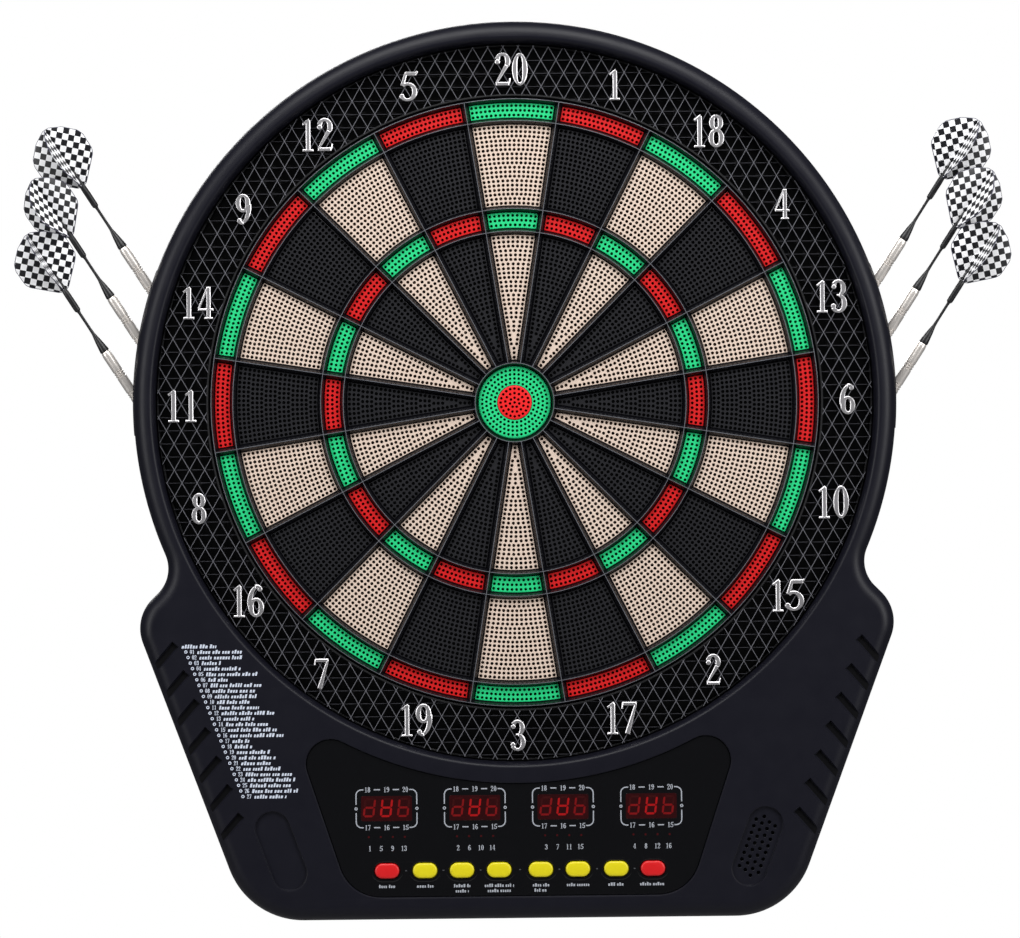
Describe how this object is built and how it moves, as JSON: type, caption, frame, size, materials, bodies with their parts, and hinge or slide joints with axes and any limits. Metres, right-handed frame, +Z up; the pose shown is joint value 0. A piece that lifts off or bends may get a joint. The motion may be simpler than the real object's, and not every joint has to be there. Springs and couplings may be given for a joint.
{
  "type": "electronic dartboard",
  "caption": "Wall-hung electronic dartboard: round perforated target with number ring, lower control panel with red displays and buttons, darts parked in side racks.",
  "frame": {"origin": "on the bull's axis, on the wall plane (the rear cover's flat back face)", "axes": "+X to the right seen from the front, +Z up, the face looks towards -Y and the back face towards +Y"},
  "size_m": [0.5864, 0.0398, 0.5229],
  "materials": {
    "housing_black": "satin",
    "cover_black": "fine texture",
    "gloss_black": "gloss",
    "spider_black": "semi-gloss",
    "segment_beige": "satin",
    "segment_black": "satin",
    "segment_green": "satin",
    "segment_red": "satin",
    "rubber_black": "matte",
    "sensor_film": "clear film with printed tracks",
    "hardboard": "matte",
    "circuit_green": "solder mask",
    "display_red": "dark red window",
    "button_yellow": "silicone",
    "button_red": "silicone",
    "steel": "satin"
  },
  "bodies": {
    "board": {"front_housing": "housing_black", "rear_cover": "cover_black", "catch_ring": "housing_black", "spider": "spider_black", "rubber_sheet": "rubber_black", "membrane_sensor": "sensor_film", "backing_board": "hardboard", "main_circuit_board": "circuit_green", "control_fascia": "gloss_black", "led_display_1": "display_red", "led_display_2": "display_red", "led_display_3": "display_red", "led_display_4": "display_red", "keypad_mat": "rubber_black", "speaker": "steel", "dc_jack": "gloss_black", "battery_box": "cover_black", "dart_rack_left": "housing_black", "dart_rack_right": "housing_black", "rear_screw_1": "steel", "rear_screw_2": "steel", "rear_screw_3": "steel", "rear_screw_4": "steel"},
    "dart_1": {"dart_1": "steel"},
    "dart_2": {"dart_2": "steel"},
    "dart_3": {"dart_3": "steel"},
    "dart_4": {"dart_4": "steel"},
    "dart_5": {"dart_5": "steel"},
    "dart_6": {"dart_6": "steel"},
    "battery_door": {"battery_door": "cover_black"},
    "button_power": {"button_power": "button_red"},
    "button_game": {"button_game": "button_yellow"},
    "button_option": {"button_option": "button_yellow"},
    "button_players": {"button_players": "button_yellow"},
    "button_double": {"button_double": "button_yellow"},
    "button_handicap": {"button_handicap": "button_yellow"},
    "button_sound": {"button_sound": "button_yellow"},
    "button_start": {"button_start": "button_red"},
    "inner_bull": {"inner_bull": "segment_red"},
    "outer_bull": {"outer_bull": "segment_green"},
    "sector_20": {"sector_20": "segment_beige"},
    "sector_1": {"sector_1": "segment_black"},
    "sector_18": {"sector_18": "segment_beige"},
    "sector_4": {"sector_4": "segment_black"},
    "sector_13": {"sector_13": "segment_beige"},
    "sector_6": {"sector_6": "segment_black"},
    "sector_10": {"sector_10": "segment_beige"},
    "sector_15": {"sector_15": "segment_black"},
    "sector_2": {"sector_2": "segment_beige"},
    "sector_17": {"sector_17": "segment_black"},
    "sector_3": {"sector_3": "segment_beige"},
    "sector_19": {"sector_19": "segment_black"},
    "sector_7": {"sector_7": "segment_beige"},
    "sector_16": {"sector_16": "segment_black"},
    "sector_8": {"sector_8": "segment_beige"},
    "sector_11": {"sector_11": "segment_black"},
    "sector_14": {"sector_14": "segment_beige"},
    "sector_9": {"sector_9": "segment_black"},
    "sector_12": {"sector_12": "segment_beige"},
    "sector_5": {"sector_5": "segment_black"}
  },
  "joints": [
    {"name": "dart_1_pull", "type": "slide", "parent": "board", "child": "dart_1", "axis": [-0.5353, -0.0872, 0.8402], "range_m": [0, 0.09]},
    {"name": "dart_2_pull", "type": "slide", "parent": "board", "child": "dart_2", "axis": [-0.5353, -0.0872, 0.8402], "range_m": [0, 0.09]},
    {"name": "dart_3_pull", "type": "slide", "parent": "board", "child": "dart_3", "axis": [-0.5353, -0.0872, 0.8402], "range_m": [0, 0.09]},
    {"name": "dart_4_pull", "type": "slide", "parent": "board", "child": "dart_4", "axis": [0.5353, -0.0872, 0.8402], "range_m": [0, 0.09]},
    {"name": "dart_5_pull", "type": "slide", "parent": "board", "child": "dart_5", "axis": [0.5353, -0.0872, 0.8402], "range_m": [0, 0.09]},
    {"name": "dart_6_pull", "type": "slide", "parent": "board", "child": "dart_6", "axis": [0.5353, -0.0872, 0.8402], "range_m": [0, 0.09]},
    {"name": "battery_door_lift", "type": "slide", "parent": "board", "child": "battery_door", "axis": [0, 1, 0], "range_m": [0, 0.03]},
    {"name": "button_power_press", "type": "slide", "parent": "board", "child": "button_power", "axis": [0, 1, 0], "range_m": [0, 0.001], "stiffness_N_per_m": 600, "springref_m": -0.0005},
    {"name": "button_game_press", "type": "slide", "parent": "board", "child": "button_game", "axis": [0, 1, 0], "range_m": [0, 0.001], "stiffness_N_per_m": 600, "springref_m": -0.0005},
    {"name": "button_option_press", "type": "slide", "parent": "board", "child": "button_option", "axis": [0, 1, 0], "range_m": [0, 0.001], "stiffness_N_per_m": 600, "springref_m": -0.0005},
    {"name": "button_players_press", "type": "slide", "parent": "board", "child": "button_players", "axis": [0, 1, 0], "range_m": [0, 0.001], "stiffness_N_per_m": 600, "springref_m": -0.0005},
    {"name": "button_double_press", "type": "slide", "parent": "board", "child": "button_double", "axis": [0, 1, 0], "range_m": [0, 0.001], "stiffness_N_per_m": 600, "springref_m": -0.0005},
    {"name": "button_handicap_press", "type": "slide", "parent": "board", "child": "button_handicap", "axis": [0, 1, 0], "range_m": [0, 0.001], "stiffness_N_per_m": 600, "springref_m": -0.0005},
    {"name": "button_sound_press", "type": "slide", "parent": "board", "child": "button_sound", "axis": [0, 1, 0], "range_m": [0, 0.001], "stiffness_N_per_m": 600, "springref_m": -0.0005},
    {"name": "button_start_press", "type": "slide", "parent": "board", "child": "button_start", "axis": [0, 1, 0], "range_m": [0, 0.001], "stiffness_N_per_m": 600, "springref_m": -0.0005},
    {"name": "inner_bull_press", "type": "slide", "parent": "board", "child": "inner_bull", "axis": [0, 1, 0], "range_m": [0, 0.001], "stiffness_N_per_m": 1500, "springref_m": -0.0005},
    {"name": "outer_bull_press", "type": "slide", "parent": "board", "child": "outer_bull", "axis": [0, 1, 0], "range_m": [0, 0.001], "stiffness_N_per_m": 1500, "springref_m": -0.0005},
    {"name": "sector_20_press", "type": "slide", "parent": "board", "child": "sector_20", "axis": [0, 1, 0], "range_m": [0, 0.001], "stiffness_N_per_m": 1500, "springref_m": -0.0005},
    {"name": "sector_1_press", "type": "slide", "parent": "board", "child": "sector_1", "axis": [0, 1, 0], "range_m": [0, 0.001], "stiffness_N_per_m": 1500, "springref_m": -0.0005},
    {"name": "sector_18_press", "type": "slide", "parent": "board", "child": "sector_18", "axis": [0, 1, 0], "range_m": [0, 0.001], "stiffness_N_per_m": 1500, "springref_m": -0.0005},
    {"name": "sector_4_press", "type": "slide", "parent": "board", "child": "sector_4", "axis": [0, 1, 0], "range_m": [0, 0.001], "stiffness_N_per_m": 1500, "springref_m": -0.0005},
    {"name": "sector_13_press", "type": "slide", "parent": "board", "child": "sector_13", "axis": [0, 1, 0], "range_m": [0, 0.001], "stiffness_N_per_m": 1500, "springref_m": -0.0005},
    {"name": "sector_6_press", "type": "slide", "parent": "board", "child": "sector_6", "axis": [0, 1, 0], "range_m": [0, 0.001], "stiffness_N_per_m": 1500, "springref_m": -0.0005},
    {"name": "sector_10_press", "type": "slide", "parent": "board", "child": "sector_10", "axis": [0, 1, 0], "range_m": [0, 0.001], "stiffness_N_per_m": 1500, "springref_m": -0.0005},
    {"name": "sector_15_press", "type": "slide", "parent": "board", "child": "sector_15", "axis": [0, 1, 0], "range_m": [0, 0.001], "stiffness_N_per_m": 1500, "springref_m": -0.0005},
    {"name": "sector_2_press", "type": "slide", "parent": "board", "child": "sector_2", "axis": [0, 1, 0], "range_m": [0, 0.001], "stiffness_N_per_m": 1500, "springref_m": -0.0005},
    {"name": "sector_17_press", "type": "slide", "parent": "board", "child": "sector_17", "axis": [0, 1, 0], "range_m": [0, 0.001], "stiffness_N_per_m": 1500, "springref_m": -0.0005},
    {"name": "sector_3_press", "type": "slide", "parent": "board", "child": "sector_3", "axis": [0, 1, 0], "range_m": [0, 0.001], "stiffness_N_per_m": 1500, "springref_m": -0.0005},
    {"name": "sector_19_press", "type": "slide", "parent": "board", "child": "sector_19", "axis": [0, 1, 0], "range_m": [0, 0.001], "stiffness_N_per_m": 1500, "springref_m": -0.0005},
    {"name": "sector_7_press", "type": "slide", "parent": "board", "child": "sector_7", "axis": [0, 1, 0], "range_m": [0, 0.001], "stiffness_N_per_m": 1500, "springref_m": -0.0005},
    {"name": "sector_16_press", "type": "slide", "parent": "board", "child": "sector_16", "axis": [0, 1, 0], "range_m": [0, 0.001], "stiffness_N_per_m": 1500, "springref_m": -0.0005},
    {"name": "sector_8_press", "type": "slide", "parent": "board", "child": "sector_8", "axis": [0, 1, 0], "range_m": [0, 0.001], "stiffness_N_per_m": 1500, "springref_m": -0.0005},
    {"name": "sector_11_press", "type": "slide", "parent": "board", "child": "sector_11", "axis": [0, 1, 0], "range_m": [0, 0.001], "stiffness_N_per_m": 1500, "springref_m": -0.0005},
    {"name": "sector_14_press", "type": "slide", "parent": "board", "child": "sector_14", "axis": [0, 1, 0], "range_m": [0, 0.001], "stiffness_N_per_m": 1500, "springref_m": -0.0005},
    {"name": "sector_9_press", "type": "slide", "parent": "board", "child": "sector_9", "axis": [0, 1, 0], "range_m": [0, 0.001], "stiffness_N_per_m": 1500, "springref_m": -0.0005},
    {"name": "sector_12_press", "type": "slide", "parent": "board", "child": "sector_12", "axis": [0, 1, 0], "range_m": [0, 0.001], "stiffness_N_per_m": 1500, "springref_m": -0.0005},
    {"name": "sector_5_press", "type": "slide", "parent": "board", "child": "sector_5", "axis": [0, 1, 0], "range_m": [0, 0.001], "stiffness_N_per_m": 1500, "springref_m": -0.0005}
  ]
}
